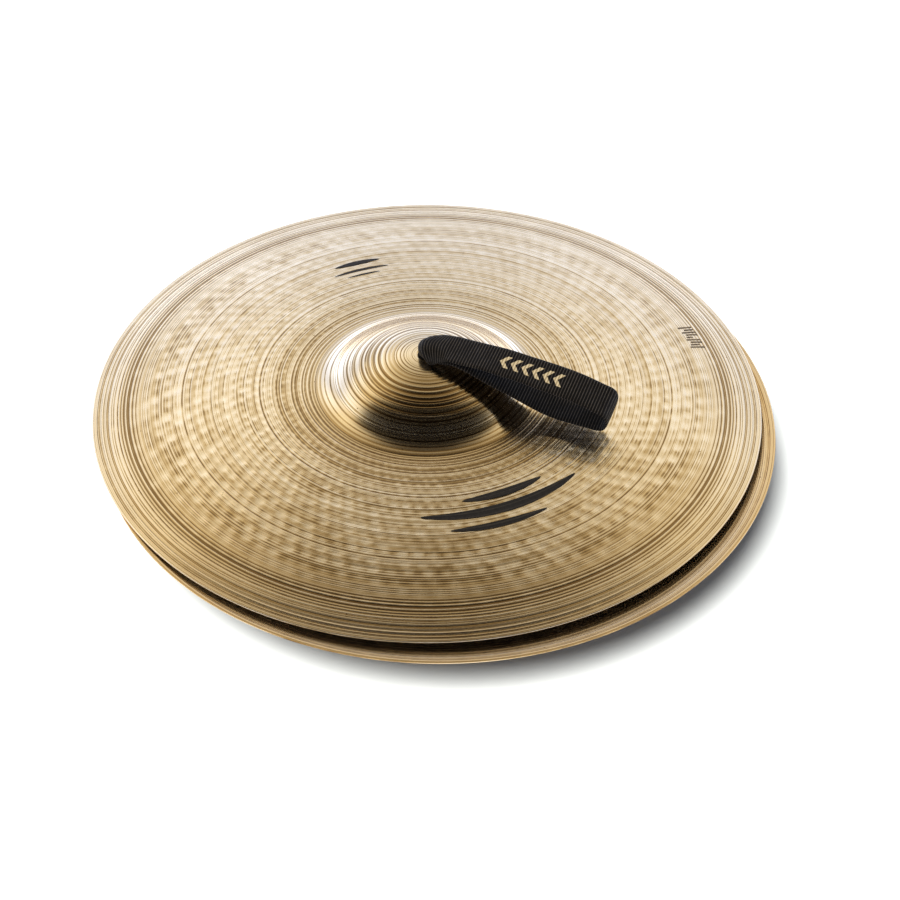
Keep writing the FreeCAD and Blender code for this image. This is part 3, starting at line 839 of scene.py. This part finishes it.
def make_binding(side, seed):
    """Waxed thread wound round the strap's bound tails: a two-ply twist in a helix."""
    rng = np.random.default_rng(seed)
    centre, up = centre_of(side)
    steps = int(TURNS * STEPS_A_TURN)
    t = np.linspace(0, 1, steps)
    sweep = t * TURNS * FULL_TURN
    # Its ends are tucked in, and it wanders a little on the way.
    free = np.clip(np.minimum(t, 1 - t) / 0.02, 0, 1)
    line_radius = TURN_RADIUS - 0.7 * (1 - free) + 0.03 * np.sin(sweep * 3.3)
    rise = TURNS_FROM + t * TURNS_RISE + 0.04 * np.sin(sweep * 1.7 + 1.0)
    line = np.stack([line_radius * np.cos(sweep), line_radius * np.sin(sweep), rise], axis=-1)
    outward = np.stack([np.cos(sweep), np.sin(sweep), np.zeros(steps)], axis=-1)
    upward = np.array((0.0, 0.0, 1.0))
    ring = circle(THREAD_SIDES)
    twist = sweep * TURN_RADIUS / TWIST
    plies = (THREAD_HALF * (0.86 + 0.14 * np.cos(2 * (ring[None] - twist[:, None])))
             * (1 + 0.03 * rng.normal(size=(steps, THREAD_SIDES))))
    points = (line[:, None] + outward[:, None] * (plies * np.cos(ring))[..., None]
              + upward * (plies * np.sin(ring))[..., None]).reshape(-1, 3)
    faces = grid_faces(steps, THREAD_SIDES)
    faces += [tuple(reversed(range(THREAD_SIDES))),
              tuple(range((steps - 1) * THREAD_SIDES, steps * THREAD_SIDES))]
    piece = mesh_object(f"{side}_waxed_thread", placed(points, centre, up), faces)
    piece.data.materials.append(thread_material())
    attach(piece, f"{side}_strap_neck")
    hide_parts(f"{side}_thread_binding")


def finish_hardware(side):
    """The steel washer and pin keep the CAD shapes and take a plated finish."""
    for name in ("steel_washer", "cross_pin"):
        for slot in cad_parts[f"{side}_{name}"].material_slots:
            slot.material = steel_material()


@functools.cache
def felt_material():
    """Pressed wool: matted fibres in charcoal greys."""
    n = Material("pressed_felt")
    place = n.place()
    fibres = n.noise(place, 3200.0, 5.0, 0.75, 1.6)
    tufts = n.noise(place, 700.0, 4.0, 0.65)
    layers = n.noise(place, 160.0, 2.0)
    greys = ((0.3, (0.055, 0.050, 0.046)), (0.5, (0.15, 0.14, 0.13)), (0.72, (0.30, 0.285, 0.265)))
    n.surface(Base_Color=n.ramp(n.blend(fibres, 0.6, n.product(tufts, 0.4)), greys),
              Roughness=n.blend(layers, 0.15, 0.85), Specular_IOR_Level=0.15,
              Sheen_Weight=0.35, Sheen_Roughness=0.6)
    n.bump(n.blend(tufts, 0.8, fibres), 0.00035, 0.9)
    return n.material


@functools.cache
def steel_material():
    """Zinc plate: a faint spangle, brushed scratches and dull stains."""
    n = Material("zinc_plated_steel")
    place = n.place()
    spangle = n.cells(place, 900.0)["Color"]
    stretch = n.add("ShaderNodeMapping")
    stretch.inputs["Scale"].default_value = (500.0, 6000.0, 3000.0)
    n.feed(stretch.inputs["Vector"], place)
    scratches = n.noise(stretch.outputs[0], 1.0, 3.0, 0.6)
    stains = n.noise(place, 240.0, 4.0, 0.6)
    greys = ((0.2, (0.34, 0.33, 0.31)), (0.5, (0.52, 0.52, 0.52)), (0.8, (0.68, 0.69, 0.71)))
    n.surface(Base_Color=n.ramp(n.blend(spangle, 0.35, n.product(stains, 0.65)), greys),
              Metallic=1.0, Roughness=n.blend(stains, 0.25, 0.20))
    n.bump(n.blend(stains, 0.5, scratches), 0.00003, 0.7)
    return n.material


@functools.cache
def thread_material():
    """Black waxed thread, its wax worn brown on the crests."""
    n = Material("waxed_thread")
    place = n.place()
    wax = n.noise(place, 900.0, 3.0, 0.6)
    hairs = n.noise(place, 5200.0, 4.0, 0.7)
    browns = ((0.3, (0.016, 0.013, 0.011)), (0.55, (0.055, 0.047, 0.040)),
              (0.75, (0.14, 0.115, 0.09)))
    n.surface(Base_Color=n.ramp(n.blend(wax, 0.6, n.product(hairs, 0.4)), browns),
              Roughness=n.blend(wax, 0.30, 0.32))
    n.bump(n.blend(hairs, 0.6, wax), 0.00008, 0.8)
    return n.material


# ---------------------------------------------------------------- marks

# Printed arcs on the upper cymbal: radius, first and last angle in degrees, width at the middle.
INK_ARCS = ((126.0, -58.0, -30.0, 6.5), (139.0, -71.0, -21.0, 8.5), (152.0, -63.0, -36.0, 5.5),
            (155.0, 124.5, 137.5, 5.0), (145.0, 122.5, 139.5, 2.6), (138.5, 125.5, 136.5, 1.6))
INK_GRID = (64, 7)
# Punched ticks: each one's length and shift outward, then their angles, radius and width.
PUNCHED = ((11, 0), (7, -1), (9, 1), (11, 0), (5, -2), (9, 1), (11, 0), (7, 1), (11, -1))
TICKS_FROM, TICK_PITCH, TICK_RADIUS, TICK_WIDTH = 36.9, 0.82, 207.0, 1.5
TICK_GRID = (6, 3)
# How far each mark stands above the turned surface.
INK_LIFT, TICK_LIFT = 0.10, 0.06


def polar_decal(name, grids, size, lift, material):
    """Thin patches just above the upper cymbal's outer face, from grids of radius and angle."""
    centre, up = centre_of("upper")
    radius, angle = np.array([place for grid in grids for place in grid]).T
    height = height_at(OUTSIDE, radius) + lift
    points = np.stack([radius * np.cos(angle), radius * np.sin(angle), height], axis=-1)
    patch = grid_faces(*size, close_columns=False)
    faces = [tuple(k * size[0] * size[1] + j for j in face)
             for k in range(len(grids)) for face in patch]
    piece = mesh_object(name, placed(points, centre, up), faces)
    store(piece, "radius_mm", radius)
    piece.data.materials.append(material)
    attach(piece, "upper_cymbal")


def make_marks():
    """Plain printed and punched marks on the upper cymbal: tapered arcs and a row of ticks."""
    arcs = []
    for radius, start, end, width in INK_ARCS:
        grid = []
        for t in np.linspace(0, 1, INK_GRID[0]):
            angle = math.radians(start + (end - start) * t)
            half = max(0.05, width / 2 * math.sin(math.pi * t) ** 0.6)
            grid += [(radius + v, angle) for v in np.linspace(-half, half, INK_GRID[1])]
        arcs.append(grid)
    ticks = []
    for k, (length, shift) in enumerate(PUNCHED):
        angle = math.radians(TICKS_FROM + k * TICK_PITCH)
        middle = TICK_RADIUS + shift
        ticks.append([(r, angle + share * TICK_WIDTH / r)
                      for r in np.linspace(middle - length / 2, middle + length / 2, TICK_GRID[0])
                      for share in np.linspace(-0.5, 0.5, TICK_GRID[1])])
    polar_decal("upper_printed_arcs", arcs, INK_GRID, INK_LIFT, ink_material())
    polar_decal("upper_punched_ticks", ticks, TICK_GRID, TICK_LIFT, punched_material())


@functools.cache
def ink_material():
    """Black printed ink over the lathe lines, thinner on their crests."""
    n = Material("printed_ink")
    mottle = n.noise(n.place(), 600.0, 4.0, 0.65)
    turned_lines = n.noise(n.attribute("radius_mm"), 0.75, 1.5, 0.6)
    blacks = ((0.35, (0.006, 0.005, 0.004)), (0.55, (0.016, 0.013, 0.010)),
              (0.8, (0.060, 0.047, 0.030)))
    n.surface(Base_Color=n.ramp(n.blend(turned_lines, 0.7, n.product(mottle, 0.3)), blacks),
              Roughness=n.blend(mottle, 0.2, 0.42), Specular_IOR_Level=0.12,
              Specular_Tint=(1.0, 0.82, 0.6, 1))
    n.bump(turned_lines, 0.00012, 0.8)
    return n.material


@functools.cache
def punched_material():
    """Bare bronze darkened in the punch marks."""
    n = Material("punched_bronze")
    tarnish = n.noise(n.place(), 500.0, 4.0, 0.65)
    bronzes = ((0.35, (0.09, 0.055, 0.025)), (0.55, (0.22, 0.14, 0.065)),
               (0.75, (0.52, 0.38, 0.20)))
    n.surface(Base_Color=n.ramp(tarnish, bronzes), Metallic=1.0,
              Roughness=n.blend(tarnish, 0.3, 0.35))
    n.bump(tarnish, 0.0002, 0.9)
    return n.material


# ---------------------------------------------------------------- studio


def make_floor():
    """A wide pale floor."""
    n = Material("floor_white")
    n.surface(Base_Color=FLOOR_COLOUR, Roughness=0.9)
    signs = ((-1, -1), (1, -1), (1, 1), (-1, 1))
    corners = [(x * FLOOR_REACH, y * FLOOR_REACH, 0) for x, y in signs]
    floor = mesh_object("floor", corners, [(0, 1, 2, 3)])
    floor.data.materials.append(n.material)
    return floor


def turned(vector):
    """A direction given right, away and up as the camera sees it, in the row frame."""
    right, away, up = vector
    cos, sin = math.cos(VIEW_TURN), math.sin(VIEW_TURN)
    return Vector((right * cos - away * sin, right * sin + away * cos, up))


def placed_object(name, data, facing):
    """A camera or lamp that faces a direction."""
    item = bpy.data.objects.new(name, data)
    bpy.context.scene.collection.objects.link(item)
    item.rotation_mode = "QUATERNION"
    item.rotation_quaternion = facing.to_track_quat("-Z", "Y")
    return item


def make_camera():
    """The camera, which faces the middle of the upper rim before its lens is shifted."""
    data = bpy.data.cameras.new("camera")
    data.lens = LENS
    data.sensor_width = 36
    data.shift_x, data.shift_y = SHIFT
    data.clip_start, data.clip_end = 0.1, 50
    back = turned((0, -math.cos(VIEW_ELEVATION), math.sin(VIEW_ELEVATION)))
    camera = placed_object("camera", data, -back)
    camera.location = centre_of("upper")[0] + Vector((0, 0, 0.5 * MM)) + back * VIEW_DISTANCE
    bpy.context.scene.camera = camera


def make_world():
    """A pale studio: bright all round up to halfway, and dark overhead except at the back."""
    world = bpy.data.worlds.new("studio")
    bpy.context.scene.world = world
    world.use_nodes = True
    n = Nodes(world.node_tree)
    direction = n.add("ShaderNodeTexCoord").outputs["Generated"]

    def towards(*vector):
        dot = n.add("ShaderNodeVectorMath", operation="DOT_PRODUCT")
        dot.inputs[1].default_value = turned(vector)
        n.feed(dot.inputs[0], direction)
        return dot.outputs["Value"]

    def fade(value, limits, results=(0.0, 1.0)):
        return n.map_range(value, limits, results, "SMOOTHSTEP")

    def light_by(value, stops, place_of):
        """A ramp through brightnesses above one, which a colour ramp alone would clip."""
        scaled = [(place_of(math.radians(angle)), [channel / SKY_STRENGTH for channel in colour])
                  for angle, colour in stops]
        return n.ramp(value, scaled, "EASE")

    right, away, height = towards(1, 0, 0), towards(0, 1, 0), towards(0, 0, 1)
    to_a_side = n.math("ABSOLUTE", right)
    ring = light_by(height, RING, math.sin)
    cap = light_by(away, CAP, math.cos)
    overhead = fade(height, [math.sin(math.radians(angle)) for angle in CAP_EDGE])
    reach = n.math("MAXIMUM", fade(to_a_side, CAP_WIDTH, (1.0, 0.0)), fade(away, CAP_FRONT))
    dimming = n.map_range(right, RIGHT_REACH, (SKY_STRENGTH, SKY_STRENGTH * RIGHT_DIMMING))
    gap = fade(to_a_side, MIDDLE_GAP, (GAP_LIGHT, 1.0))
    sky = n.tree.nodes["Background"]
    n.feed(sky.inputs["Color"], n.mix(n.product(overhead, reach), ring, cap))
    n.feed(sky.inputs["Strength"], n.product(dimming, gap))


def sun_light(name, travel, irradiance, spread, only=None):
    """A distant soft lamp shining along a direction; with only given, it lights nothing else."""
    data = bpy.data.lights.new(name, "SUN")
    data.energy = irradiance
    data.angle = math.radians(spread)
    lamp = placed_object(name, data, turned(travel))
    lamp.visible_glossy = False
    if only is not None:
        group = bpy.data.collections.new(f"{name}_targets")
        group.objects.link(only)
        lamp.light_linking.receiver_collection = group


bpy.context.scene.view_settings.view_transform = "Standard"
make_world()
make_camera()
sun_light("floor_lamp", travel=(0.27, 0.62, -1.0), irradiance=40.0, spread=27.0, only=make_floor())
sun_light("key", travel=(0.35, -0.55, -1.0), irradiance=2.2, spread=12.0)
# Each piece has a seed of its own.
for number, side in enumerate(SIDES, start=1):
    make_cymbal(side, seed=10 + number)
    make_felt(side, seed=30 + number)
    make_strap(side, seed=20 + number)
    make_binding(side, seed=40 + number)
    finish_hardware(side)
make_marks()
